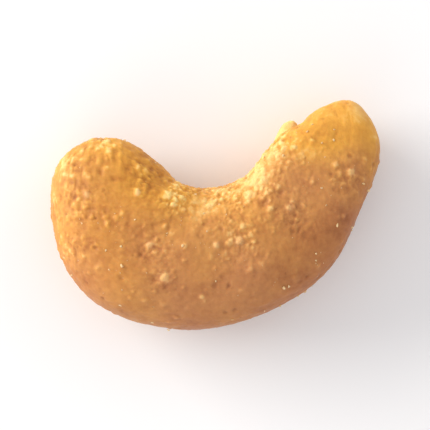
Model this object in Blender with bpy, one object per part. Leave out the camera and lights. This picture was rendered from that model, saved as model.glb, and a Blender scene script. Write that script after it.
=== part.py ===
"""A roasted cashew kernel, lying on its cheek on a level surface.

The kernel grew as one piece. Its two plump halves meet in a seam that runs right round the curve, and
the tip of the embryo's root, the nub, shows between them near the slim end. It is built as a tube whose
sections span from the outer edge of the curve to the inner edge, closed by round ends. The seam is
pressed in all round its edge, the nub is joined to it, and three small flats are worn where it touches
the surface.

Metres, +Z up. The origin is on the surface, under the middle of the kernel's box. The curve opens
towards +Y, the blunt end is at -X and the slim end at +X.
"""

import math

import bmesh
import bpy
import numpy as np
from mathutils import Matrix, Vector

MM = 0.001

# Sections from the blunt end to the slim end, in millimetres: a point on the outer edge, the point across
# from it on the inner edge, the half thickness, the gap between the lower cheek and the surface, and how
# square the section is, where 2 is an ellipse.
SECTIONS = (
    ((-12.45, 5.90), (-4.95, 5.95), 3.80, 0.75, 2.25),
    ((-13.10, 1.60), (-3.40, 3.15), 4.25, 0.35, 2.25),
    ((-12.20, -3.40), (-2.35, 2.35), 4.70, 0.35, 2.25),
    ((-8.75, -7.65), (-1.30, 2.10), 4.90, 0.35, 2.25),
    ((-3.60, -9.20), (-0.30, 2.05), 4.95, 0.30, 2.25),
    ((1.40, -8.85), (0.75, 2.20), 4.90, 0.30, 2.35),
    ((6.10, -6.95), (1.90, 2.60), 4.70, 0.35, 2.60),
    ((9.60, -3.70), (3.00, 3.35), 4.40, 0.45, 2.95),
    ((11.80, 0.50), (4.10, 4.90), 4.00, 0.50, 3.20),
    ((13.05, 4.10), (5.60, 6.05), 3.60, 0.50, 3.25),
    ((12.65, 9.50), (7.25, 8.25), 3.05, 0.90, 3.10),
)
BLUNT_CAP = 3.8  # how far from its end the blunt end starts to round off
SLIM_CAP = 3.4
HALF_SLIP = 0.35  # how far one half slips along the other at the two ends

# Slow swells that keep the cheeks and the outer edge from being even
SWELL = 0.13
SWELL_LENGTHS = (1.9, 2.7)

# The seam between the halves: a wide soft valley with a narrow furrow in it, both deeper on the inner side
VALLEY_DEPTH, VALLEY_REACH = 0.12, 1.00
FURROW_DEPTH, FURROW_REACH = 0.26, 0.26
INNER_DEEPENING = 0.4
SEAM_WANDER, WANDER_LENGTH = 0.30, 3.2

# The nub lies in the seam on the inner side of the slim end, and the edges of the halves stand out round it
NUB_PLACE = (5.70, 5.76)
NUB_TOWARDS = (0.42, 0.91)
NUB_HALF_LENGTH, NUB_HALF_WIDTH, NUB_HALF_HEIGHT = 1.70, 0.80, 0.90
LOBE_HEIGHT, LOBE_REACH, LOBE_THICKNESS = 0.40, 1.05, 1.9

# The three places where the lower cheek reaches down to the surface: the blunt end, the belly, the slim end
FEET = ((-8.30, 3.00), (-1.20, -4.00), (8.80, 4.40))
FOOT_REACH = 2.4
SETTLING = 0.10  # the kernel is set down by this much, which wears the feet flat

# How finely it is drawn
RINGS_ALONG_BODY = 62
RINGS_IN_CAP = 12
POLE_CROWDING = 1.25  # draws the rings of a cap towards its pole
POINTS_AROUND = 52
SEAM_CROWDING = 0.55  # draws the points of a ring towards the seam
NUB_SEGMENTS, NUB_RINGS = 20, 12

COLOUR = (0.62, 0.29, 0.09, 1.0)
ROUGHNESS = 0.45


def clear_scene():
    for old in list(bpy.data.objects):
        bpy.data.objects.remove(old)


def smooth_curve(knots, values):
    """A natural cubic spline through the values at the knots, as a function that takes an array."""
    step = np.diff(knots)
    slope = np.diff(values, axis=0) / step[:, None]
    size = len(knots)
    system = np.eye(size)
    right = np.zeros_like(values)
    for i in range(1, size - 1):
        system[i, i - 1 : i + 2] = step[i - 1], 2 * (step[i - 1] + step[i]), step[i]
        right[i] = 6 * (slope[i] - slope[i - 1])
    bend = np.linalg.solve(system, right)

    def at(where):
        i = np.clip(np.searchsorted(knots, where) - 1, 0, size - 2)
        gap = step[i][:, None]
        before = (where - knots[i])[:, None]
        after = gap - before
        curved = bend[i] * (after**3 - gap**2 * after) + bend[i + 1] * (before**3 - gap**2 * before)
        return curved / (6 * gap) + (values[i] * after + values[i + 1] * before) / gap

    return at


def sections():
    """The kernel's length along its middle, and its sections as a smooth function of the distance along it."""
    rows = np.array([(*outer, *inner, *rest) for outer, inner, *rest in SECTIONS])
    middles = (rows[:, 0:2] + rows[:, 2:4]) / 2
    knots = np.concatenate([[0.0], np.cumsum(np.linalg.norm(np.diff(middles, axis=0), axis=1))])
    return knots[-1], smooth_curve(knots, rows)


def ring_places(length):
    """Distances along the middle, even over the body and by angle over the round ends, without the poles."""
    turn = math.pi / 2 * np.linspace(0, 1, RINGS_IN_CAP + 1)[1:] ** POLE_CROWDING
    blunt = BLUNT_CAP * (1 - np.cos(turn))
    slim = length - SLIM_CAP * (1 - np.cos(turn[::-1]))
    body = np.linspace(BLUNT_CAP, length - SLIM_CAP, RINGS_ALONG_BODY + 1)[1:-1]
    return np.concatenate([blunt, body, slim])


def cap_share(along, length):
    """1 on the body, and down to 0 at each end as a quarter of an ellipse goes."""
    into_blunt = np.clip(1 - along / BLUNT_CAP, 0, 1)
    into_slim = np.clip(1 - (length - along) / SLIM_CAP, 0, 1)
    return np.sqrt(1 - into_blunt**2) * np.sqrt(1 - into_slim**2)


def seam_wander(along, length):
    """How far the seam's line is above the middle of the section."""
    return SEAM_WANDER * np.sin(along / WANDER_LENGTH) * cap_share(along, length)


def seam_height(along, length, here):
    return here[:, 4] + here[:, 5] + seam_wander(along, length)


def smooth_body(along, around, length, here):
    """Points of the kernel without its seam, by the distance along it and the angle from its inner edge."""
    outer, inner, thick, square = here[:, 0:2], here[:, 2:4], here[:, 4], here[:, 6]
    width = np.linalg.norm(inner - outer, axis=1)
    inward = (inner - outer) / width[:, None]
    ahead = np.stack([inward[:, 1], -inward[:, 0]], axis=1)
    across, up = np.cos(around), np.sin(around)
    reach = (np.abs(across) ** square + np.abs(up) ** square) ** (-1 / square)
    swell = SWELL * np.sin(along / SWELL_LENGTHS[0] + 2 * around) * np.sin(along / SWELL_LENGTHS[1] + around)
    swell *= np.minimum(1, 1 - across)
    cap = cap_share(along, length)
    side = across * reach * (width / 2 + swell) * cap
    rise = up * reach * (thick + swell) * cap
    slip = HALF_SLIP * (2 * along / length - 1) ** 3 * np.tanh(rise / 1.5)
    flat = (outer + inner) / 2 + inward * side[:, None] + ahead * slip[:, None]
    wander = seam_wander(along, length) * across**2
    return np.column_stack([flat, here[:, 4] + here[:, 5] + rise + wander])


def seam_depth(points, above_seam, inwardness):
    """How deep the seam is pressed in: deeper where it faces the bay, and standing out round the nub."""
    valley = VALLEY_DEPTH * np.exp(-((above_seam / VALLEY_REACH) ** 2))
    furrow = FURROW_DEPTH * np.exp(-((above_seam / FURROW_REACH) ** 2))
    from_nub = np.linalg.norm(points[:, :2] - np.array(NUB_PLACE), axis=1)
    lobe = LOBE_HEIGHT * np.exp(-((from_nub / LOBE_REACH) ** 2) - (above_seam / LOBE_THICKNESS) ** 2)
    return (valley + furrow) * (1 + INNER_DEEPENING * inwardness) - lobe


def foot_drop(points, above_seam):
    """How far points of the lower cheek go down, so that each foot's lowest point comes to the height 0."""
    drop = np.zeros(len(points))
    low_down = np.clip(-above_seam, 0, 1)
    for foot in FEET:
        away = np.linalg.norm(points[:, :2] - np.array(foot), axis=1)
        lowest = points[away < FOOT_REACH / 3, 2].min()
        drop += lowest * np.exp(-((away / FOOT_REACH) ** 2)) * low_down
    return drop


def make_body():
    """The kernel without its nub, as a bmesh in millimetres."""
    length, at = sections()
    places = ring_places(length)
    even = np.arange(POINTS_AROUND) * 2 * math.pi / POINTS_AROUND
    angles = even - SEAM_CROWDING * np.sin(2 * even) / 2
    along = np.concatenate([[0.0], np.repeat(places, POINTS_AROUND), [length]])
    around = np.concatenate([[math.pi / 2], np.tile(angles, len(places)), [math.pi / 2]])
    here = at(along)
    points = smooth_body(along, around, length, here)

    bm = bmesh.new()
    verts = [bm.verts.new(p) for p in points]
    first, last = verts[0], verts[-1]
    rings = [verts[1 + i * POINTS_AROUND : 1 + (i + 1) * POINTS_AROUND] for i in range(len(places))]
    for i in range(POINTS_AROUND):
        j = (i + 1) % POINTS_AROUND
        bm.faces.new((first, rings[0][i], rings[0][j]))
        bm.faces.new((last, rings[-1][j], rings[-1][i]))
        for ring, following in zip(rings, rings[1:]):
            bm.faces.new((ring[i], following[i], following[j], ring[j]))
    bmesh.ops.recalc_face_normals(bm, faces=bm.faces)
    bm.normal_update()
    above_seam = points[:, 2] - seam_height(along, length, here)
    depth = seam_depth(points, above_seam, np.cos(around) * cap_share(along, length))
    drop = foot_drop(points, above_seam)
    outward = [v.normal.copy() for v in verts]
    for i, vert in enumerate(verts):
        vert.co -= outward[i] * depth[i]
        vert.co.z -= drop[i]
    return bm


def make_nub():
    """The nub as a bmesh in millimetres: a long ball lying along the seam."""
    length, at = sections()
    along = np.linspace(0, length, 200)
    here = at(along)
    beside = np.argmin(np.linalg.norm(here[:, 2:4] - np.array(NUB_PLACE), axis=1))
    height = seam_height(along, length, here)[beside]
    turn = Matrix.Rotation(math.atan2(NUB_TOWARDS[1], NUB_TOWARDS[0]), 4, "Z")
    size = Matrix.Diagonal((NUB_HALF_LENGTH, NUB_HALF_WIDTH, NUB_HALF_HEIGHT, 1))
    place = Matrix.Translation((*NUB_PLACE, height)) @ turn @ size
    bm = bmesh.new()
    bmesh.ops.create_uvsphere(bm, u_segments=NUB_SEGMENTS, v_segments=NUB_RINGS, radius=1, matrix=place)
    return bm


def mesh_object(name, bm):
    """An object in the scene from a bmesh in millimetres."""
    bmesh.ops.scale(bm, vec=(MM, MM, MM), verts=bm.verts)
    mesh = bpy.data.meshes.new(name)
    bm.to_mesh(mesh)
    bm.free()
    obj = bpy.data.objects.new(name, mesh)
    bpy.context.scene.collection.objects.link(obj)
    return obj


def join(target, other):
    """Makes other part of target's solid, and removes it."""
    union = target.modifiers.new("union", "BOOLEAN")
    union.operation = "UNION"
    union.object = other
    graph = bpy.context.evaluated_depsgraph_get()
    joined = bpy.data.meshes.new_from_object(target.evaluated_get(graph))
    target.modifiers.clear()
    target.data = joined
    bpy.data.objects.remove(other)


def set_down(kernel):
    """Moves the origin under the middle of the box and cuts the flats that the kernel rests on."""
    bm = bmesh.new()
    bm.from_mesh(kernel.data)
    places = np.array([v.co for v in bm.verts])
    low, high = places.min(axis=0), places.max(axis=0)
    middle = (low + high) / 2
    floor = low[2] + SETTLING * MM
    bmesh.ops.translate(bm, vec=(-middle[0], -middle[1], -floor), verts=bm.verts)
    everything = list(bm.verts) + list(bm.edges) + list(bm.faces)
    down = Vector((0, 0, -1))
    bmesh.ops.bisect_plane(bm, geom=everything, plane_co=Vector(), plane_no=down, clear_outer=True)
    rims = [e for e in bm.edges if e.is_boundary]
    bmesh.ops.holes_fill(bm, edges=rims, sides=0)
    bmesh.ops.recalc_face_normals(bm, faces=bm.faces)
    bm.to_mesh(kernel.data)
    bm.free()


def roasted():
    material = bpy.data.materials.new("roasted_kernel")
    material.use_nodes = True
    shader = material.node_tree.nodes["Principled BSDF"]
    shader.inputs["Base Color"].default_value = COLOUR
    shader.inputs["Roughness"].default_value = ROUGHNESS
    shader.inputs["Metallic"].default_value = 0.0
    material.diffuse_color = COLOUR
    return material


def build():
    clear_scene()
    kernel = mesh_object("kernel", make_body())
    join(kernel, mesh_object("nub", make_nub()))
    set_down(kernel)
    kernel.data.materials.clear()
    kernel.data.materials.append(roasted())
    kernel.data.shade_smooth()
    kernel.data.set_sharp_from_angle(angle=math.radians(50))


build()
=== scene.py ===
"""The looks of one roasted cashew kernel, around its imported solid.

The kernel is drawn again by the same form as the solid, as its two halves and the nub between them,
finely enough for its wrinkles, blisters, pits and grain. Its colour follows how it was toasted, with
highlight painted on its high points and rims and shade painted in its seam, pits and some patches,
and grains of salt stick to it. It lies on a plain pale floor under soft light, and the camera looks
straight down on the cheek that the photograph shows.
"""

import itertools
import math

import bmesh
import bpy
import numpy as np
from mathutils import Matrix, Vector, kdtree

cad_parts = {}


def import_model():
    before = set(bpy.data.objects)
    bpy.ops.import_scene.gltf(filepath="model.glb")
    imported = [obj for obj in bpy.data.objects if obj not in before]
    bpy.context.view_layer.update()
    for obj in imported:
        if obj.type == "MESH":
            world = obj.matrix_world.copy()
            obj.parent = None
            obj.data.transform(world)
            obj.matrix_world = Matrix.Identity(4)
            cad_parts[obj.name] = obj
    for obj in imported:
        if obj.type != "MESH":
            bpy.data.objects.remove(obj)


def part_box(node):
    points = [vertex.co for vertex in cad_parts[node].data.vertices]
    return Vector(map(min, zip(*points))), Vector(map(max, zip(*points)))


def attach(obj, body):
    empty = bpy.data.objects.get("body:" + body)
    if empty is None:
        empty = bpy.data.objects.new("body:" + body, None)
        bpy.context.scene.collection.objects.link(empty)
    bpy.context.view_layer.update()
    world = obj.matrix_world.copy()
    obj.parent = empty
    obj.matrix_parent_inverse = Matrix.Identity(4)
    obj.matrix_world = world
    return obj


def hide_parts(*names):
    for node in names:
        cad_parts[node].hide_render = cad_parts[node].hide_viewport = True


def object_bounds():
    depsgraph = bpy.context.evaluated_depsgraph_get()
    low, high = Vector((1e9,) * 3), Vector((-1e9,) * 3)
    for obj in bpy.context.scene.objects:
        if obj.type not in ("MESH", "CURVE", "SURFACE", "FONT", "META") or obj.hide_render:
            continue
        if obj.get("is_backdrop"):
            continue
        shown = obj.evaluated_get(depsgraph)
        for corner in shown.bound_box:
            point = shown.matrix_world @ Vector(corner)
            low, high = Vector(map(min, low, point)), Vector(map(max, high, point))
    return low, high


MM = 0.001
SEED, SALT_SEED = 5, 25

# The kernel's form: sections from the blunt end to the slim end, in millimetres. Each has a point on
# the outer edge, the point across from it on the inner edge, the half thickness, the gap between the
# lower cheek and the floor, and how square the section is, where 2 is an ellipse.
SECTIONS = (
    ((-12.45, 5.90), (-4.95, 5.95), 3.80, 0.75, 2.25),
    ((-13.10, 1.60), (-3.40, 3.15), 4.25, 0.35, 2.25),
    ((-12.20, -3.40), (-2.35, 2.35), 4.70, 0.35, 2.25),
    ((-8.75, -7.65), (-1.30, 2.10), 4.90, 0.35, 2.25),
    ((-3.60, -9.20), (-0.30, 2.05), 4.95, 0.30, 2.25),
    ((1.40, -8.85), (0.75, 2.20), 4.90, 0.30, 2.35),
    ((6.10, -6.95), (1.90, 2.60), 4.70, 0.35, 2.60),
    ((9.60, -3.70), (3.00, 3.35), 4.40, 0.45, 2.95),
    ((11.80, 0.50), (4.10, 4.90), 4.00, 0.50, 3.20),
    ((13.05, 4.10), (5.60, 6.05), 3.60, 0.50, 3.25),
    ((12.65, 9.50), (7.25, 8.25), 3.05, 0.90, 3.10),
)
BLUNT_CAP = 3.8
SLIM_CAP = 3.4
HALF_SLIP, SLIP_REACH = 0.35, 1.5
SWELL = 0.13
SWELL_LENGTHS = (1.9, 2.7)

# The seam between the halves. Its edges are pressed in and shifted, less with the distance up the
# cheek. A span is how far along the kernel, and how far round it, a change goes.
SEAM_WANDER, WANDER_LENGTH = 0.30, 3.2
VALLEY_DEPTH, VALLEY_REACH = 0.12, 1.00
FURROW_DEPTH, FURROW_REACH, FURROW_SPAN = 0.17, 0.20, (2.6, 4.0)
FURROW_UNEVENNESS, FURROW_LIMITS = 1.1, (0.25, 1.6)
INNER_DEEPENING = 0.4
STEP_HEIGHT, STEP_REACH, STEP_SPAN = 0.08, 0.9, (4.0, 6.0)
WIGGLE_HEIGHT, WIGGLE_REACH, WIGGLE_SPAN = 0.24, 0.8, (1.9, 5.0)
GAP_WIDTHS, GAP_SPAN = (0.01, 0.10), (2.6, 4.0)
USUAL_GAPING, GAPING_CHANGE = 0.35, 1.2

# The nub in the seam, the swelling round it, and the notch beside it
NUB_PLACE = (5.70, 5.76)
NUB_TOWARDS = (0.42, 0.91)
NUB_HALF_SIZES = (1.70, 0.80, 0.90)
NUB_FATNESS = 0.15
NUB_RINGS, NUB_POINTS = 60, 72
NUB_WRINKLES, NUB_WRINKLE_SIZES = 0.040, (1.6, 0.6, 0.6)
NUB_GRAIN, NUB_GRAIN_SIZE = 0.016, 0.3
# The nub's colour, with painted highlight on its high points
NUB_TOASTING, NUB_TOP_HIGHLIGHT = 0.08, 1.5
NUB_RUDDINESS, NUB_MOTTLING = 0.15, 0.5
LOBE_HEIGHT, LOBE_REACH, LOBE_THICKNESS = 0.40, 1.05, 1.9
NOTCH_PLACE, NOTCH_DEPTH, NOTCH_REACH = (7.1, 6.9), 0.50, 0.60

# The feet that are worn flat
FEET = ((-8.30, 3.00), (-1.20, -4.00), (8.80, 4.40))
FOOT_REACH, FOOT_MIDDLE = 2.4, 0.8
FOOT_SMOOTHNESS, SMOOTH_REACH = 0.9, 1.3
SETTLING = 0.10

# How finely each half is drawn: rings along the body, and points over the cheek
UPPER_RINGS, UPPER_POINTS = 300, 244
LOWER_RINGS, LOWER_POINTS = 240, 200
RINGS_IN_CAP = 34
POLE_CROWDING = 1.15
SEAM_CROWDING = 0.25
FACE_POINTS = 8
FACE_BULGE = 0.25

# The relief of the surface, as heights and sizes in millimetres. Wrinkles run lengthwise: their spans
# are along the kernel and round it. The rest goes every way.
LONG_WRINKLES, LONG_WRINKLE_SPAN = 0.055, (5.0, 1.9)
FINE_WRINKLES, FINE_WRINKLE_SPAN = 0.024, (2.0, 0.75)
WRINKLE_WARP = 0.35
FOLD_TOP, CREASE_DROP, CREASE_SHARPNESS = 0.55, 1.6, 3.2
DENTS, DENT_SIZE = 0.090, 3.4
GRAIN, GRAIN_SIZE = 0.056, 0.62
FINE_GRAIN, FINE_GRAIN_SIZE, LEAST_FINE_GRAIN = 0.028, 0.30, 0.3

# The round spots: how many, and their least and largest radius in millimetres. Blisters are raised,
# pits are pressed in, and freckles are only browner. The largest spots are bent, the others ragged.
BLISTERS, BLISTER_RADII = 1300, (0.10, 0.40)
BLISTER_STEEPNESS, BLISTER_HEIGHTS = 0.30, (0.5, 1.2)
PITS, PIT_RADII, PIT_STEEPNESS = 200, (0.09, 0.36), 0.22
FRECKLES, FRECKLE_RADII = 150, (0.12, 0.45)
FRECKLE_STRENGTHS, FRECKLE_FADE = (0.35, 1.0), 1.6
SPOT_RAGGEDNESS, SPOT_RAGGEDNESS_SIZE = 0.14, 0.45
LARGE_SPOT_BEND, LARGE_SPOT_BEND_SIZE = 0.06, 0.5

# How crowded the spots are on smooth skin. It is 1 more where the skin is roughest.
SMOOTH_BLISTERING, SMOOTH_PITTING = 0.08, 0.3
SLIM_TIP_SMOOTHNESS = 0.7

# Where the upper cheek is roughest: each place, in millimetres from the middle of the kernel's box,
# and how far it reaches. The lower cheek is as rough here and there, by chance.
ROUGH_PLACES = (
    ((-9.0, 5.6), 1.6),
    ((-11.2, 3.6), 1.7),
    ((-10.9, 0.6), 2.0),
    ((-10.6, -2.6), 1.5),
    ((-5.6, 3.0), 1.3),
    ((-4.6, -3.0), 1.5),
    ((-3.8, -5.0), 1.1),
    ((-2.6, 1.0), 1.4),
    ((1.2, 1.2), 2.0),
    ((2.0, -2.2), 1.6),
    ((3.6, 2.6), 1.8),
    ((5.2, 5.2), 1.8),
    ((6.0, -0.2), 1.4),
    ((10.8, 2.8), 1.4),
)

# The palest patches of the upper cheek, in the same way: partly paler skin, and partly painted
# highlight on edges and ridges
PALE_PLACES = (
    ((-10.6, 4.6), 0.8),
    ((-8.5, 5.2), 0.7),
    ((-3.2, 1.8), 0.7),
    ((-1.0, 0.3), 0.9),
    ((2.9, 1.3), 0.7),
    ((3.4, 2.8), 0.9),
    ((4.6, 4.5), 0.8),
    ((7.2, 4.2), 0.8),
)

# Where the upper cheek is painted a little darker as shade, in the same way
SHADED_PLACES = (
    ((-5.2, 2.6), 1.7),
    ((0.6, 1.6), 1.0),
    ((0.9, -3.1), 0.9),
)

# The largest blisters of the upper cheek, whose tops are painted pale and pinkish as highlight, in
# the same way
LARGE_BLISTERS = (
    ((-3.8, -5.0), 0.55),
    ((2.0, -2.2), 0.42),
    ((0.2, -2.5), 0.30),
    ((-5.9, 1.5), 0.32),
    ((-9.9, 1.4), 0.40),
    ((-4.9, -2.5), 0.35),
    ((5.9, 0.4), 0.34),
    ((10.9, 3.2), 0.36),
    ((-0.9, -6.5), 0.28),
)
LARGE_BLISTER_HEIGHT = 0.13

# The deepest pits of the upper cheek, in the same way
LARGE_PITS = (
    ((-9.5, 4.2), 0.50),
    ((-8.8, 3.2), 0.40),
    ((-7.8, 2.6), 0.32),
    ((-5.6, -3.2), 0.32),
    ((-0.6, -0.8), 0.45),
    ((3.8, 0.7), 0.40),
    ((5.2, 1.5), 0.36),
    ((6.6, -1.4), 0.34),
)
LARGE_PIT_DEPTH = 0.11

# The regions of a half. Reaches are up from the seam, and the lengths of the blunt side, the slim tip
# and the back are along the kernel, in millimetres. The slim side and the bay are in shares of its
# length. The bands are in shares of the way out from the middle of the cheek to the seam.
RIM_REACH = 2.2
# How far up from the seam the painted shade of its furrow reaches
CREASE_REACH = 0.20
BAND_REACH = 4.6
BLUNT_SIDE_LENGTH = 13.0
SLIM_SIDE_START, SLIM_SIDE_FADE = 1.6 / 3, 1 / 3
SLIM_TIP_LENGTH, SLIM_TIP_FADE = 7.5, 6.0
BACK_START, BACK_FADE = 11.0, 10.0
BAY_PLACE, BAY_REACH = 0.54, 0.20
INNER_BAND_FADING = 0.6
BAY_BAND_START, BAY_BAND_FADE, BAY_BAND_FADING = 0.54, 0.14, 0.85
BLUNT_BAND_START, BLUNT_BAND_FADE, BLUNT_BAND_FADING = 0.48, 0.28, 0.75
SEAM_SIDE_START, SEAM_SIDE_FADE = 0.80, 0.16

# What each region adds to the relief and to the look of the skin
COARSENESS = {"all": 0.45, "blunt_side": 0.15, "inner": 0.35, "patches": 1.0, "slim_back": -0.12}
LONG_WRINKLING = {"all": 0.10, "patches": 0.25, "rims": 0.55, "ends": 0.3}
FINE_WRINKLING = {"all": 0.10, "patches": 0.35, "rims": 0.55}
# How toasted each region is. Some regions add painted highlight and some add painted shade, as noted
# below.
TOASTING_AND_PAINTED_LIGHT = {
    "all": 0.475,
    "outer": 0.05,
    "blunt_cheek": 0.16,
    "slim_cheek": 0.04,
    # The slim half's outer edge: partly more toasted, partly painted shade
    "back": 0.16,
    # Painted shade in some patches of the upper cheek
    "shaded": 0.08,
    # Paler patches, partly painted highlight
    "pale_places": -0.18,
    # Painted highlight on the tops of the largest blisters
    "large_blisters": -0.38,
    "slim_tip": -0.02,
    "slim_end": -0.30,
    # The slim tip's outer flank is painted paler, as painted light from beside
    "slim_tip_outer": -0.16,
    # Paler bands on the rims, partly painted highlight
    "pale_and_highlight_bands": -1.0,
}
# Paler bands along the inner edge, the bay's wall and the blunt side's edge: partly paler skin,
# partly painted highlight
PALE_AND_HIGHLIGHT_BANDS = {"inner_band": 0.12, "bay_band": 0.31, "blunt_band": 0.42}
RUDDINESS = {
    "all": 0.80,
    "outer": 0.20,
    "inner": -0.45,
    "slim_tip": -0.9,
    "blunt_side": -0.83,
    # Pinkish painted highlight on the tops of the largest blisters
    "large_blisters": 0.8,
}
MOTTLING = {"all": 0.35, "patches": 0.65, "inner": 0.2}

# Changes by chance, as strength and size in millimetres
UPPER_ROUGHNESS, LOWER_ROUGHNESS = (0.35, 1.6), (1.5, 3.6)
SLIM_TIP_RAGGEDNESS = (1.2, 2.6)
BAND_RAGGEDNESS, BAND_PATCHES = (0.07, 1.1), (0.4, 0.9)
BROAD_TOASTING, SMALL_TOASTING, NUB_PATCHES = (0.11, 7.0), (0.12, 2.1), (0.12, 0.8)
RUDDY_PATCHES = (0.30, 5.0)

# Painted highlight and shade on the relief: what is high is painted paler, blisters most of all, what
# is low is painted darker, and deep pits get painted shade
TOP_HIGHLIGHT, BLISTER_HIGHLIGHT = 2.2, 0.3
PIT_SHADE, DEEP_PIT = 0.25, 0.08

# Salt on each half, in millimetres: grains of few corners, in clusters, and none near the floor
SALT_GRAINS, SALT_SIZES, SALT_SUNK = 160, (0.07, 0.34), 0.55
SALT_CORNERS, SALT_STRETCH = 9, (0.8, 1.3)
SALT_CLUSTERING, SALT_CLUSTER_SIZE = 2.2, 3.0
SALT_LOWEST = 1.0

# The colours from the palest to the most toasted, of the skin's yellower and of its redder parts
HONEY_TONES = ((0.88, 0.61, 0.222), (0.73, 0.352, 0.058), (0.52, 0.212, 0.035), (0.28, 0.090, 0.021))
RUDDY_TONES = ((0.74, 0.42, 0.160), (0.57, 0.253, 0.090), (0.42, 0.163, 0.063), (0.23, 0.070, 0.026))
TONE_PLACES = (0.05, 0.36, 0.68, 0.98)
# The colour of the painted shade in the seam's furrow and in deep pits
CREVICE_SHADE = (0.200, 0.066, 0.018, 1.0)
SALT_WHITE = (0.82, 0.62, 0.36, 1.0)
SALT_CREAM = (0.68, 0.42, 0.17, 1.0)
FLOOR_WHITE, FLOOR_ROUGHNESS = (0.90, 0.895, 0.90, 1.0), 0.7
# How far freckles, and the painted shade of the seam's furrow and pits, go towards their colours
FRECKLE_DEPTH, CREASE_SHADE_DEPTH = 0.70, 0.65

# The finest detail of the skin and the salt, as noise: spots to a metre, detail and roughness
MOTTLE = (1700.0, 4.0, 0.62)
FRECKLE_EDGE, EDGE_CONTRAST, EDGE_SHIFT = (3200.0, 3.0, 0.6), 1.3, -0.35
OILINESS = (420.0, 3.0, 0.5)
PORES, PORE_STRENGTH, PORE_DEPTH = (6500.0, 3.0, 0.55), 0.5, 0.00004
CLOUDINESS = (900.0, 2.0, 0.5)

# How the skin and the salt take the light
OIL_SPREAD = {"From Min": 0.3, "From Max": 0.7, "To Min": 0.42, "To Max": 0.56}
SKIN_SHADER = {
    "Subsurface Weight": 0.18,
    "Subsurface Radius": (1.0, 0.42, 0.16),
    "Subsurface Scale": 0.0008,
    "IOR": 1.46,
    "Specular IOR Level": 0.16,
    "Sheen Weight": 0.02,
    "Sheen Roughness": 0.45,
    "Sheen Tint": (1.0, 0.86, 0.66, 1.0),
}
SALT_SHADER = {
    "Roughness": 0.30,
    "Subsurface Weight": 0.5,
    "Subsurface Radius": (1.0, 0.8, 0.6),
    "Subsurface Scale": 0.0003,
}

# The lights, which are soft squares: place in metres, strength in watts, and colour
LIGHTS = {
    "key": ((-0.44, 0.19, 0.135), 3.75, (1.0, 0.975, 0.93)),
    "side": ((0.38, 0.20, 0.24), 0.28, (1.0, 0.94, 0.86)),
    "fill": ((-0.20, -0.40, 0.22), 0.40, (1.0, 0.97, 0.94)),
}
LIGHT_SIZE = 0.40
SURROUND = {"Color": (0.97, 0.965, 0.985, 1.0), "Strength": 0.74}

# The camera. The view's width is how much of the floor's width the picture takes in.
VIEW_WIDTH = 0.0340
LENS = 200.0
SENSOR = 36.0
NEAREST, FARTHEST = 0.02, 20.0

# The noise repeats after this many cells, and its height is brought up to about 1
NOISE_CELLS = 256
NOISE_HEIGHT = 1.6

# Places of the colour sockets on a node that mixes
FIRST_COLOUR, SECOND_COLOUR, MIXED_COLOUR = 6, 7, 2


def smooth_curve(knots, values):
    """A natural cubic spline through the values at the knots, as a function that takes an array."""
    step = np.diff(knots)
    slope = np.diff(values, axis=0) / step[:, None]
    size = len(knots)
    system = np.eye(size)
    right = np.zeros_like(values)
    for i in range(1, size - 1):
        system[i, i - 1 : i + 2] = step[i - 1], 2 * (step[i - 1] + step[i]), step[i]
        right[i] = 6 * (slope[i] - slope[i - 1])
    bend = np.linalg.solve(system, right)

    def at(where):
        i = np.clip(np.searchsorted(knots, where) - 1, 0, size - 2)
        gap = step[i][:, None]
        before = (where - knots[i])[:, None]
        after = gap - before
        curved = bend[i] * (after**3 - gap**2 * after) + bend[i + 1] * (before**3 - gap**2 * before)
        return curved / (6 * gap) + (values[i] * after + values[i + 1] * before) / gap

    return at


def sections():
    """The kernel's length along its middle, and its sections by the distance along it."""
    rows = np.array([(*outer, *inner, *rest) for outer, inner, *rest in SECTIONS])
    middles = (rows[:, 0:2] + rows[:, 2:4]) / 2
    knots = np.concatenate([[0.0], np.cumsum(np.linalg.norm(np.diff(middles, axis=0), axis=1))])
    return knots[-1], smooth_curve(knots, rows)


def ring_places(length, body_rings):
    """Distances along the middle: even over the body, by angle over the round ends, and no poles."""
    turn = math.pi / 2 * np.linspace(0, 1, RINGS_IN_CAP + 1)[1:] ** POLE_CROWDING
    blunt = BLUNT_CAP * (1 - np.cos(turn))
    slim = length - SLIM_CAP * (1 - np.cos(turn[::-1]))
    body = np.linspace(BLUNT_CAP, length - SLIM_CAP, body_rings + 1)[1:-1]
    return np.concatenate([blunt, body, slim])


def cap_share(along, length):
    """1 on the body, and down to 0 at each end as a quarter of an ellipse goes."""
    into_blunt = np.clip(1 - along / BLUNT_CAP, 0, 1)
    into_slim = np.clip(1 - (length - along) / SLIM_CAP, 0, 1)
    return np.sqrt(1 - into_blunt**2) * np.sqrt(1 - into_slim**2)


def seam_wander(along, length):
    """How far the seam's line is above the middle of the section."""
    return SEAM_WANDER * np.sin(along / WANDER_LENGTH) * cap_share(along, length)


def woven(rings, around):
    """The faces over a closed grid of points, as their numbers: a pole, the rings, and a pole."""
    i = np.arange(around)
    j = (i + 1) % around
    start = 1 + around * np.arange(rings - 1)[:, None]
    quads = np.stack([start + j, start + around + j, start + around + i, start + i], axis=-1)
    last = 1 + around * (rings - 1)
    first_fan = np.stack([np.zeros_like(i), 1 + j, 1 + i], axis=-1)
    last_fan = np.stack([np.full_like(i, last + around), last + i, last + j], axis=-1)
    return [*first_fan.tolist(), *quads.reshape(-1, 4).tolist(), *last_fan.tolist()]


def normals_of(points, faces):
    """The outward normals of the points."""
    mesh = bpy.data.meshes.new("measure")
    mesh.from_pydata(points.tolist(), [], faces)
    found = np.zeros(len(points) * 3)
    mesh.vertices.foreach_get("normal", found)
    bpy.data.meshes.remove(mesh)
    return found.reshape(-1, 3)


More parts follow.
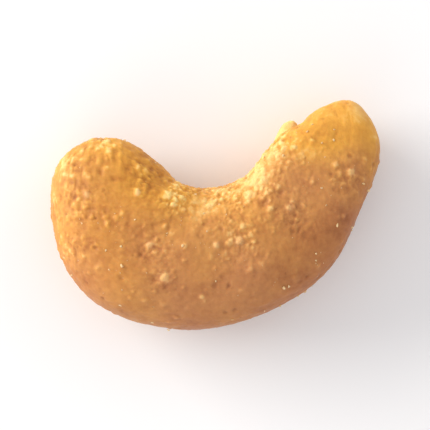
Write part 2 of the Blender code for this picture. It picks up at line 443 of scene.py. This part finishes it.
class Half:
    """One half of the kernel, as points in millimetres, with where each is along it and around it.

    Each ring of points goes over the cheek from one edge of the seam to the other, and back across
    the inner face.
    """

    def __init__(self, side, body_rings, cheek_points):
        self.side = side
        self.length, at = sections()
        rings = ring_places(self.length, body_rings)
        over = np.linspace(0, math.pi, cheek_points)
        cheek = over - SEAM_CROWDING * np.sin(2 * over) / 2
        back = math.pi * (1 + np.arange(1, FACE_POINTS + 1) / (FACE_POINTS + 1))
        turns = np.concatenate([cheek, back]) + (0 if side > 0 else math.pi)
        top = side * math.pi / 2
        self.grid = (len(rings), len(turns))
        self.cheek_points = cheek_points
        self.along = np.concatenate([[0.0], np.repeat(rings, len(turns)), [self.length]])
        self.around = np.concatenate([[top], np.tile(turns, len(rings)), [top]])
        in_cheek = np.arange(len(turns)) < cheek_points
        self.on_cheek = np.concatenate([[1.0], np.tile(in_cheek, len(rings)), [1.0]])
        self.here = at(self.along)
        self.cap = cap_share(self.along, self.length)
        self.seam = self.here[:, 4] + self.here[:, 5] + seam_wander(self.along, self.length)
        self.lay_out()
        self.faces = woven(*self.grid)

    def lay_out(self):
        """Places the smooth form's points, and each point's place in its own section."""
        outer, inner = self.here[:, 0:2], self.here[:, 2:4]
        thick, square = self.here[:, 4], self.here[:, 6]
        width = np.linalg.norm(inner - outer, axis=1)
        inward = (inner - outer) / width[:, None]
        ahead = np.stack([inward[:, 1], -inward[:, 0]], axis=1)
        across, up = np.cos(self.around), np.sin(self.around)
        reach = (np.abs(across) ** square + np.abs(up) ** square) ** (-1 / square)
        ripple = np.sin(self.along / SWELL_LENGTHS[0] + 2 * self.around)
        ripple *= np.sin(self.along / SWELL_LENGTHS[1] + self.around)
        swell = SWELL * ripple * np.minimum(1, 1 - across)
        self.across = across * reach * (width / 2 + swell) * self.cap
        self.rise = up * reach * (thick + swell) * self.cap
        slip = HALF_SLIP * (2 * self.along / self.length - 1) ** 3 * np.tanh(self.rise / SLIP_REACH)
        flat = (outer + inner) / 2 + inward * self.across[:, None] + ahead * slip[:, None]
        wander = seam_wander(self.along, self.length)
        self.points = np.column_stack([flat, self.seam + self.rise - wander * up**2])

    def normals(self):
        return normals_of(self.points, self.faces)

    def above_seam(self):
        return self.points[:, 2] - self.seam

    def section_place(self, span):
        """Each point's place along the kernel and in its section, counted in spans."""
        length, width = span
        return np.column_stack([self.along / length, self.across / width, self.rise / width])

    def areas(self):
        """About how much of the cheek each point stands for."""
        grid = self.points[1:-1].reshape(*self.grid, 3)
        crossed = np.cross(np.gradient(grid, axis=0), np.gradient(grid, axis=1))
        patches = np.linalg.norm(crossed, axis=2).ravel()
        return np.concatenate([[0.0], patches, [0.0]]) * self.on_cheek

    def close_inner_face(self):
        """Lays the points past the cheek from edge to edge of the seam, bulging across it."""
        grid = self.points[1:-1].reshape(*self.grid, 3)
        first, last = grid[:, 0], grid[:, self.cheek_points - 1]
        for i in range(FACE_POINTS):
            share = (i + 1) / (FACE_POINTS + 1)
            grid[:, self.cheek_points + i] = last + (first - last) * share
            grid[:, self.cheek_points + i, 2] -= self.side * FACE_BULGE * math.sin(math.pi * share)
        self.points[1:-1] = grid.reshape(-1, 3)


def random_directions(rng):
    """Unit vectors every way, and an order that spreads them over the cells of the noise."""
    directions = rng.normal(size=(NOISE_CELLS, 3))
    directions /= np.linalg.norm(directions, axis=1)[:, None]
    return directions, rng.permutation(NOISE_CELLS)


def noise(places, seed):
    """Smooth noise from about -1 to 1, with one swell or hollow for each unit of the places.

    Each use of it has a seed of its own, so that no two look alike.
    """
    directions, order = random_directions(np.random.default_rng(SEED + 100 * seed))
    cell = np.floor(places).astype(int)
    inside = places - cell
    fade = inside**3 * (inside * (inside * 6 - 15) + 10)
    height = np.zeros(len(places))
    for corner in itertools.product((0, 1), repeat=3):
        pick = 0
        for place in ((cell + corner) % NOISE_CELLS).T:
            pick = order[(pick + place) % NOISE_CELLS]
        value = np.einsum("ij,ij->i", directions[pick], inside - corner)
        height += value * np.prod(np.where(corner, fade, 1 - fade), axis=1)
    return height * NOISE_HEIGHT


def chance(points, strength_and_size, seed):
    """Noise of a strength over patches of a size."""
    strength, size = strength_and_size
    return strength * noise(points / size, seed)


def smooth_step(share):
    """0 up to 0, 1 from 1 on, and a soft change between."""
    share = np.clip(share, 0, 1)
    return share**2 * (3 - 2 * share)


def warped(places, strength, seed):
    """The places moved about a little, so that what is drawn there doesn't run straight."""
    moves = [noise(places, seed + i) for i in range(3)]
    return places + strength * np.column_stack(moves)


def ridged(values):
    """Turns smooth noise into rounded ridges with narrow creases between them, around 0."""
    return FOLD_TOP - CREASE_DROP * np.exp(-np.abs(values) * CREASE_SHARPNESS)


def tree_of(points):
    tree = kdtree.KDTree(len(points))
    for i, point in enumerate(points):
        tree.insert(point, i)
    tree.balance()
    return tree


def scattered(half, tree, count, radii, weights, rng):
    """Round spots scattered by weight, each as its radius, its points, and how far out each is."""
    low, high = radii
    chances = half.areas() * weights
    for centre in rng.choice(len(half.points), count, p=chances / chances.sum()):
        radius = low + (high - low) * rng.random() ** 2
        middle = tree.find(half.points[centre])[0]
        _, near, away = zip(*tree.find_range(middle, radius))
        yield radius, np.array(near), np.array(away) / radius


def beside_seam(half, place, reach):
    """1 on the seam at a place, and down to 0 away from it and up the cheek."""
    away = np.linalg.norm(half.points[:, :2] - np.array(place), axis=1)
    return np.exp(-((away / reach) ** 2) - (half.above_seam() / LOBE_THICKNESS) ** 2)


def seam_press(half):
    """How deep this half's edge is pressed in along the seam, which stands out round the nub."""
    above = half.above_seam()
    inwardness = np.cos(half.around) * half.cap
    uneven = 1 + FURROW_UNEVENNESS * noise(half.section_place(FURROW_SPAN), 1)
    valley = VALLEY_DEPTH * np.exp(-((above / VALLEY_REACH) ** 2))
    furrow = FURROW_DEPTH * np.clip(uneven, *FURROW_LIMITS) * np.exp(-((above / FURROW_REACH) ** 2))
    lean = half.side * STEP_HEIGHT * noise(half.section_place(STEP_SPAN), 2) * half.cap
    step = lean * np.exp(-((above / STEP_REACH) ** 2))
    lobe = LOBE_HEIGHT * beside_seam(half, NUB_PLACE, LOBE_REACH)
    notch = NOTCH_DEPTH * beside_seam(half, NOTCH_PLACE, NOTCH_REACH)
    return (valley + furrow) * (1 + INNER_DEEPENING * inwardness) + step - lobe + notch


def seam_shift(half):
    """How far the edge goes up or down: the seam's line wiggles, and it gapes more in some places."""
    near = np.exp(-((half.above_seam() / WIGGLE_REACH) ** 2))
    wiggle = WIGGLE_HEIGHT * noise(half.section_place(WIGGLE_SPAN), 3) * half.cap
    narrow, wide = GAP_WIDTHS
    gaping = np.clip(USUAL_GAPING + GAPING_CHANGE * noise(half.section_place(GAP_SPAN), 4), 0, 1)
    gap = narrow + (wide - narrow) * gaping
    return (wiggle + half.side * gap / 2) * near


def foot_drop(half):
    """How far points of the lower cheek go down, so that each foot is lowest at the height 0."""
    drop = np.zeros(len(half.points))
    low_down = np.clip(half.seam - half.points[:, 2], 0, 1)
    for foot in FEET:
        away = np.linalg.norm(half.points[:, :2] - np.array(foot), axis=1)
        lowest = half.points[away < FOOT_MIDDLE, 2].min()
        drop += lowest * np.exp(-((away / FOOT_REACH) ** 2)) * low_down
    return drop


def footing(half):
    """1 where the lower cheek stands on its feet, and down to 0 away from them."""
    share = np.zeros(len(half.points))
    for foot in FEET:
        away = np.linalg.norm(half.points[:, :2] - np.array(foot), axis=1)
        share = np.maximum(share, np.exp(-((away / SMOOTH_REACH) ** 2)))
    return share * (half.above_seam() < 0)


def spread_from(half, places, moved=0):
    """1 at the places on the upper cheek, and down to 0 away from each as far as it reaches."""
    share = np.zeros(len(half.points))
    if half.side > 0:
        for place, reach in places:
            away = np.linalg.norm(half.points[:, :2] - np.array(place) + moved, axis=1)
            share = np.maximum(share, np.exp(-((away / reach) ** 2)))
    return share * (half.above_seam() > 0)


def roughness_of(half):
    """1 where the half is roughest, and down to 0 where it is smooth."""
    change = UPPER_ROUGHNESS if half.side > 0 else LOWER_ROUGHNESS
    return np.clip(spread_from(half, ROUGH_PLACES) + chance(half.points, change, 5), 0, 1)


def sides_of(half):
    """How much each point belongs to each side of the half, from 0 to 1."""
    place = half.along / half.length
    into_slim_tip = half.along - half.length + SLIM_TIP_LENGTH
    ragged = chance(half.points, SLIM_TIP_RAGGEDNESS, 32)
    return {
        "inner": np.clip(np.cos(half.around), 0, 1),
        "outer": np.clip(-np.cos(half.around), 0, 1),
        "ends": 1 - half.cap,
        "rims": np.exp(-((half.above_seam() / RIM_REACH) ** 2)),
        "blunt_side": np.clip(1 - half.along / BLUNT_SIDE_LENGTH, 0, 1),
        "slim_side": np.clip((place - SLIM_SIDE_START) / SLIM_SIDE_FADE, 0, 1),
        "slim_tip": smooth_step((into_slim_tip + ragged) / SLIM_TIP_FADE),
    }


def sum_of(regions, amounts):
    """The sum of the regions, each times its amount."""
    return sum(amount * regions[name] for name, amount in amounts.items())


def pale_and_highlight_bands(half, sides):
    """How much paler the skin is in uneven bands: the bay's wall, and the blunt side's edge. It is
    partly paler skin and partly painted highlight on these rims.
    """
    inner, outer, blunt_side = sides["inner"], sides["outer"], sides["blunt_side"]
    ragged = chance(half.points, BAND_RAGGEDNESS, 27)
    near_seam = np.clip((np.maximum(inner, outer) - SEAM_SIDE_START) / SEAM_SIDE_FADE, 0, 1)
    bay = np.exp(-(((half.along / half.length - BAY_PLACE) / BAY_REACH) ** 2))
    bay_band = np.clip((inner - BAY_BAND_START + ragged) / BAY_BAND_FADE, 0, 1)
    blunt_band = smooth_step((outer * half.cap - BLUNT_BAND_START + ragged) / BLUNT_BAND_FADE)
    bands = {
        "inner_band": inner * (1 - INNER_BAND_FADING * sides["slim_side"] - blunt_side),
        "bay_band": bay_band * (1 - BAY_BAND_FADING * near_seam) * bay,
        "blunt_band": blunt_band * (1 - BLUNT_BAND_FADING * near_seam) * blunt_side,
    }
    patchy = 1 + chance(half.points, BAND_PATCHES, 28)
    return sum_of(bands, PALE_AND_HIGHLIGHT_BANDS) * patchy * np.exp(-((half.above_seam() / BAND_REACH) ** 2))


def regions_of(half):
    """The sides and the other regions of a half by name, as shares of about 0 to 1."""
    sides = sides_of(half)
    outer, slim_side, slim_tip = sides["outer"], sides["slim_side"], sides["slim_tip"]
    back = outer**3 * np.clip((half.along - BACK_START) / BACK_FADE, 0, 1)
    bends = [noise(half.points / LARGE_SPOT_BEND_SIZE, seed) for seed in (30, 31)]
    bent = LARGE_SPOT_BEND * np.column_stack(bends)
    return sides | {
        "all": 1.0,
        "blunt_cheek": sides["blunt_side"] * (1 - sides["rims"]),
        "slim_cheek": slim_side * (1 - sides["inner"]),
        "slim_back": slim_side * outer,
        "slim_tip_outer": slim_tip * outer,
        "slim_end": slim_tip * sides["ends"],
        "back": back * (1 - slim_tip),
        "pale_and_highlight_bands": pale_and_highlight_bands(half, sides),
        "patches": roughness_of(half),
        "pale_places": spread_from(half, PALE_PLACES),
        "shaded": spread_from(half, SHADED_PLACES),
        "large_blisters": spread_from(half, LARGE_BLISTERS, bent) ** 2,
        "large_pits": spread_from(half, LARGE_PITS, bent) ** 2,
    }


def wrinkles_and_grain(half, regions, coarseness):
    """The height of the wrinkles, which run lengthwise, and of the grain, which goes every way."""
    long_places = warped(half.section_place(LONG_WRINKLE_SPAN), WRINKLE_WARP, 10)
    fine_places = warped(half.section_place(FINE_WRINKLE_SPAN), WRINKLE_WARP, 14)
    folds = LONG_WRINKLES * ridged(noise(long_places, 6)) * sum_of(regions, LONG_WRINKLING)
    folds += FINE_WRINKLES * ridged(noise(fine_places, 7)) * sum_of(regions, FINE_WRINKLING)
    grain = GRAIN * noise(half.points / GRAIN_SIZE, 8) * coarseness
    fine_coarseness = LEAST_FINE_GRAIN + coarseness
    return folds + grain + FINE_GRAIN * noise(half.points / FINE_GRAIN_SIZE, 9) * fine_coarseness


def spots_of(half, regions, coarseness, rng):
    """The height of the blisters, the depth of the pits, and how freckled each point is."""
    ragged = warped(half.points / SPOT_RAGGEDNESS_SIZE, SPOT_RAGGEDNESS / SPOT_RAGGEDNESS_SIZE, 26)
    tree = tree_of(ragged * SPOT_RAGGEDNESS_SIZE)
    crowding = (SMOOTH_BLISTERING + regions["patches"]) * coarseness
    crowding *= 1 - SLIM_TIP_SMOOTHNESS * regions["slim_tip"]
    pitting = SMOOTH_PITTING + regions["patches"]
    blistered, pitted, freckled = (np.zeros(len(half.points)) for _ in range(3))
    for radius, near, away in scattered(half, tree, BLISTERS, BLISTER_RADII, crowding, rng):
        height = radius * BLISTER_STEEPNESS * rng.uniform(*BLISTER_HEIGHTS)
        blistered[near] = np.maximum(blistered[near], height * (1 - away**2) ** 2)
    for radius, near, away in scattered(half, tree, PITS, PIT_RADII, pitting, rng):
        pitted[near] += radius * PIT_STEEPNESS * (1 - away**2) ** 2
    for _, near, away in scattered(half, tree, FRECKLES, FRECKLE_RADII, pitting, rng):
        strength = rng.uniform(*FRECKLE_STRENGTHS)
        freckle = strength * np.clip(FRECKLE_FADE * (1 - away), 0, 1)
        freckled[near] = np.maximum(freckled[near], freckle)
    return blistered, pitted, freckled


def add_relief(half, rng):
    """Raises the wrinkles, blisters and grain, presses in the pits, and colours the half by them,
    with painted highlight on what is high and painted shade on what is low.
    """
    regions = regions_of(half)
    coarseness = sum_of(regions, COARSENESS)
    blistered, pitted, freckled = spots_of(half, regions, coarseness, rng)
    fine = wrinkles_and_grain(half, regions, coarseness) + blistered - pitted
    fine += LARGE_BLISTER_HEIGHT * regions["large_blisters"] - LARGE_PIT_DEPTH * regions["large_pits"]

    # How toasted, with the painted highlight and painted shade of some regions
    brown = sum_of(regions, TOASTING_AND_PAINTED_LIGHT)
    brown += chance(half.points, BROAD_TOASTING, 19) + chance(half.points, SMALL_TOASTING, 20)
    # Painted highlight on high points and blisters, and painted shade in hollows
    pale = TOP_HIGHLIGHT * fine + (BLISTER_HIGHLIGHT + regions["patches"]) * blistered
    half.toasting_and_painted_light = np.clip(brown - pale, 0, 1)
    half.ruddy = np.clip(sum_of(regions, RUDDINESS) + chance(half.points, RUDDY_PATCHES, 21), 0, 1)
    half.mottled = np.clip(sum_of(regions, MOTTLING), 0, 1)
    half.freckled = freckled
    # Painted shade: darker along the seam's furrow and in deep pits
    crease_shade = np.exp(-((half.above_seam() / CREASE_REACH) ** 2))
    half.crease_shade = np.clip(crease_shade + PIT_SHADE * np.clip(pitted / DEEP_PIT, 0, 1), 0, 1)

    relief = fine + DENTS * noise(half.points / DENT_SIZE, 18)
    relief *= 1 - FOOT_SMOOTHNESS * footing(half)
    half.points = half.points + half.normals() * relief[:, None]


def make_half(side, body_rings, cheek_points):
    half = Half(side, body_rings, cheek_points)
    normals = half.normals()
    shift = seam_shift(half) - foot_drop(half)
    half.points = half.points - normals * seam_press(half)[:, None]
    half.points[:, 2] += shift
    add_relief(half, np.random.default_rng(SEED + side))
    half.close_inner_face()
    return half


class Nub:
    """The blunt little root that lies in the seam near the slim end, fatter towards that end."""

    def __init__(self, half):
        beside = np.argmin(np.linalg.norm(half.here[:, 2:4] - np.array(NUB_PLACE), axis=1))
        forward = np.array([*NUB_TOWARDS, 0.0]) / np.linalg.norm(NUB_TOWARDS)
        sideways = np.array([-forward[1], forward[0], 0.0])
        turn = np.linspace(0, math.pi, NUB_RINGS + 2)[1:-1, None]
        around = np.arange(NUB_POINTS) * math.tau / NUB_POINTS
        lengthwise, girth = -np.cos(turn), np.sin(turn) * (1 - NUB_FATNESS * np.cos(turn))
        middle = lengthwise + 0 * around
        shape = np.stack([middle, girth * np.cos(around), girth * np.sin(around)], axis=-1)
        shape = np.concatenate([[[-1.0, 0, 0]], shape.reshape(-1, 3), [[1.0, 0, 0]]]) * NUB_HALF_SIZES
        self.points = shape @ np.array([forward, sideways, [0.0, 0.0, 1.0]])
        self.points += np.array([*NUB_PLACE, half.seam[beside]])
        self.faces = woven(NUB_RINGS, NUB_POINTS)
        self.add_relief(shape)

    def add_relief(self, shape):
        """Raises the wrinkles and the grain, and colours the nub, which stays pale, with painted
        highlight on its high points and painted shade in its hollows.
        """
        wrinkles = ridged(noise(shape / NUB_WRINKLE_SIZES, 22))
        relief = NUB_WRINKLES * wrinkles + NUB_GRAIN * noise(self.points / NUB_GRAIN_SIZE, 23)
        self.points += normals_of(self.points, self.faces) * relief[:, None]
        # Painted highlight on the nub's high points, and painted shade in its hollows
        toasting_and_painted_light = NUB_TOASTING + chance(self.points, NUB_PATCHES, 24) - NUB_TOP_HIGHLIGHT * relief
        self.toasting_and_painted_light = np.clip(toasting_and_painted_light, 0, 1)
        plain = np.ones(len(self.points))
        self.ruddy, self.mottled = NUB_RUDDINESS * plain, NUB_MOTTLING * plain
        self.freckled, self.crease_shade = 0 * plain, 0 * plain


def settle(skins, low, high):
    """Wears the feet flat on the floor, and fits everything into the solid's box, in metres."""
    for skin in skins:
        skin.points[:, 2] = np.maximum(skin.points[:, 2] - SETTLING, 0)
    together = np.concatenate([skin.points for skin in skins])
    lowest, highest = together.min(axis=0), together.max(axis=0)
    for skin in skins:
        skin.points = (skin.points - lowest) * ((high - low) / (highest - lowest)) + low


def add_object(name, data):
    obj = bpy.data.objects.new(name, data)
    bpy.context.scene.collection.objects.link(obj)
    return obj


def add_mesh(name, points, faces):
    mesh = bpy.data.meshes.new(name)
    mesh.from_pydata(points, [], faces)
    mesh.shade_smooth()
    return add_object(name, mesh)


def add_skin(name, skin, material):
    piece = add_mesh(name, skin.points.tolist(), skin.faces)
    for values_name in ("toasting_and_painted_light", "ruddy", "freckled", "mottled", "crease_shade"):
        values = piece.data.attributes.new(values_name, "FLOAT", "POINT")
        values.data.foreach_set("value", getattr(skin, values_name).astype(np.float32))
    piece.data.materials.append(material)
    return piece


def salt_places(half, rng):
    """Points of the half that carry a grain of salt, with the grains' sizes in metres."""
    clustered = np.exp(SALT_CLUSTERING * noise(half.points / (SALT_CLUSTER_SIZE * MM), 25))
    chances = half.areas() * clustered * (half.points[:, 2] > SALT_LOWEST * MM)
    chosen = rng.choice(len(half.points), SALT_GRAINS, p=chances / chances.sum())
    low, high = SALT_SIZES
    return chosen, (low + (high - low) * rng.random(len(chosen)) ** 3) * MM


def add_salt(half, name, material):
    """Grains of salt on one half, as one mesh of little broken crystals sunk partly into the skin."""
    rng = np.random.default_rng(SALT_SEED + half.side)
    normals = half.normals()
    bm = bmesh.new()
    for i, size in zip(*salt_places(half, rng)):
        centre = half.points[i] + normals[i] * size * (0.5 - SALT_SUNK)
        corners = rng.normal(size=(SALT_CORNERS, 3))
        corners /= np.linalg.norm(corners, axis=1)[:, None]
        corners *= size / 2 * rng.uniform(*SALT_STRETCH, 3)
        hull = [bm.verts.new(centre + corner) for corner in corners]
        bmesh.ops.convex_hull(bm, input=hull)
    mesh = bpy.data.meshes.new(name)
    bm.to_mesh(mesh)
    bm.free()
    mesh.materials.append(material)
    return add_object(name, mesh)


class Look:
    """A material, and the nodes that make it."""

    def __init__(self, name):
        self.material = bpy.data.materials.new(name)
        self.material.use_nodes = True
        self.tree = self.material.node_tree

    def fill(self, node, values):
        """Gives the node's sockets their values, or links them to what other nodes give."""
        for name, value in values.items():
            if isinstance(value, bpy.types.NodeSocket):
                self.tree.links.new(value, node.inputs[name])
            else:
                node.inputs[name].default_value = value

    def add(self, kind, settings, values):
        node = self.tree.nodes.new(kind)
        for name, setting in settings.items():
            setattr(node, name, setting)
        self.fill(node, values)
        return node

    def shade(self, values):
        self.fill(self.tree.nodes["Principled BSDF"], values)

    def painted(self, name):
        """What the mesh says at each point."""
        return self.add("ShaderNodeAttribute", {"attribute_name": name}, {}).outputs["Fac"]

    def speckle(self, scale, detail, roughness):
        """Noise with about this many spots to a metre."""
        place = self.add("ShaderNodeTexCoord", {}, {}).outputs["Object"]
        values = {"Vector": place, "Scale": scale, "Detail": detail, "Roughness": roughness}
        return self.add("ShaderNodeTexNoise", {}, values).outputs["Fac"]

    def worked_out(self, operation, *values, clamp=False):
        settings = {"operation": operation, "use_clamp": clamp}
        return self.add("ShaderNodeMath", settings, dict(enumerate(values))).outputs[0]

    def tones(self, level, colours):
        """The colours in turn as the level rises, each pure at its own place."""
        ramp = self.add("ShaderNodeValToRGB", {}, {"Fac": level})
        stops = ramp.color_ramp.elements
        for position in TONE_PLACES[1:-1]:
            stops.new(position)
        for stop, position, colour in zip(stops, TONE_PLACES, colours):
            stop.position, stop.color = position, (*colour, 1.0)
        return ramp.outputs["Color"]

    def mixed(self, share, first, second):
        values = {"Factor": share, FIRST_COLOUR: first, SECOND_COLOUR: second}
        return self.add("ShaderNodeMix", {"data_type": "RGBA"}, values).outputs[MIXED_COLOUR]


def skin_colour(look):
    """Honey or ruddy tones by how toasted it is, with painted highlight and shade, a fine mottle over
    them, freckles, and painted shade in the seam's furrow and deep pits.
    """
    mottle = look.worked_out("SUBTRACT", look.speckle(*MOTTLE), 0.5)
    painted = (look.painted("mottled"), look.painted("toasting_and_painted_light"))
    level = look.worked_out("MULTIPLY_ADD", mottle, *painted, clamp=True)
    honey, ruddy = look.tones(level, HONEY_TONES), look.tones(level, RUDDY_TONES)
    toasted = look.mixed(look.painted("ruddy"), honey, ruddy)

    ragged = look.worked_out("MULTIPLY_ADD", look.speckle(*FRECKLE_EDGE), EDGE_CONTRAST, EDGE_SHIFT)
    freckle = look.worked_out("MULTIPLY", look.painted("freckled"), ragged, clamp=True)
    depth = look.worked_out("MULTIPLY", freckle, FRECKLE_DEPTH)
    freckled = look.mixed(depth, toasted, (*RUDDY_TONES[-1], 1.0))

    # Painted shade in the seam's furrow and in deep pits
    depth = look.worked_out("MULTIPLY", look.painted("crease_shade"), CREASE_SHADE_DEPTH)
    return look.mixed(depth, freckled, CREVICE_SHADE)


def roasted_skin():
    """Golden seed flesh, browner where more toasted and where shade is painted, paler where highlight
    is painted, with fine pores and a little oil.
    """
    look = Look("roasted_skin")
    oily = look.add("ShaderNodeMapRange", {}, {"Value": look.speckle(*OILINESS), **OIL_SPREAD})
    pores = {"Height": look.speckle(*PORES), "Strength": PORE_STRENGTH, "Distance": PORE_DEPTH}
    bump = look.add("ShaderNodeBump", {}, pores)
    look.shade({"Base Color": skin_colour(look)} | SKIN_SHADER)
    look.shade({"Roughness": oily.outputs[0], "Normal": bump.outputs[0]})
    return look.material


def salt_crystal():
    """Cloudy crystals, white to cream, that have drawn in a little of the oil."""
    look = Look("salt_crystal")
    colour = look.mixed(look.speckle(*CLOUDINESS), SALT_WHITE, SALT_CREAM)
    look.shade({"Base Color": colour} | SALT_SHADER)
    return look.material


def make_floor():
    """A plain pale floor, far larger than the picture."""
    corners = [(-1, -1, 0), (1, -1, 0), (1, 1, 0), (-1, 1, 0)]
    floor = add_mesh("floor", corners, [(0, 1, 2, 3)])
    look = Look("floor")
    look.shade({"Base Color": FLOOR_WHITE, "Roughness": FLOOR_ROUGHNESS})
    floor.data.materials.append(look.material)
    floor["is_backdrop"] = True


def add_light(name, place, watts, colour):
    """A soft square light at a place in metres, pointed at the kernel."""
    light = add_object(name, bpy.data.lights.new(name, "AREA"))
    light.data.shape = "SQUARE"
    light.data.size = LIGHT_SIZE
    light.data.energy = watts
    light.data.color = colour
    light.location = place
    light.rotation_euler = Vector(place).to_track_quat("Z", "Y").to_euler()


def make_light():
    """Soft light: a large key from the picture's upper left, two weak ones, and a pale surround."""
    for name, (place, watts, colour) in LIGHTS.items():
        add_light(name, place, watts, colour)
    world = bpy.data.worlds.new("surround")
    world.use_nodes = True
    for name, value in SURROUND.items():
        world.node_tree.nodes["Background"].inputs[name].default_value = value
    bpy.context.scene.world = world


def make_camera(low, high):
    """A long lens straight above the middle of the kernel, the open side of its curve at the top."""
    camera = add_object("camera", bpy.data.cameras.new("camera"))
    camera.data.lens = LENS
    camera.data.sensor_width = SENSOR
    distance = VIEW_WIDTH * LENS / SENSOR
    camera.location = (low + high) / 2 + np.array([0, 0, distance])
    camera.data.clip_start, camera.data.clip_end = distance * NEAREST, distance * FARTHEST
    bpy.context.scene.camera = camera


def make_kernel(low, high):
    """The two halves and the nub, in place of the plain solid, and the salt on them."""
    upper = make_half(1, UPPER_RINGS, UPPER_POINTS)
    lower = make_half(-1, LOWER_RINGS, LOWER_POINTS)
    nub = Nub(upper)
    settle((upper, lower, nub), low, high)
    skin_material, salt_material = roasted_skin(), salt_crystal()
    skins = (("upper_half", upper), ("lower_half", lower), ("nub", nub))
    pieces = [add_skin(name, skin, skin_material) for name, skin in skins]
    for piece in pieces:
        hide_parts("kernel")
    pieces.append(add_salt(upper, "salt_above", salt_material))
    pieces.append(add_salt(lower, "salt_below", salt_material))
    for piece in pieces:
        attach(piece, "root")


def build():
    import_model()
    cad_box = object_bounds()
    low, high = (np.array(corner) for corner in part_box("kernel"))
    make_kernel(low, high)
    make_floor()
    make_light()
    make_camera(low, high)
    bpy.context.scene.view_settings.view_transform = "Standard"
    boxes = [[list(corner) for corner in box] for box in (cad_box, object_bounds())]


build()
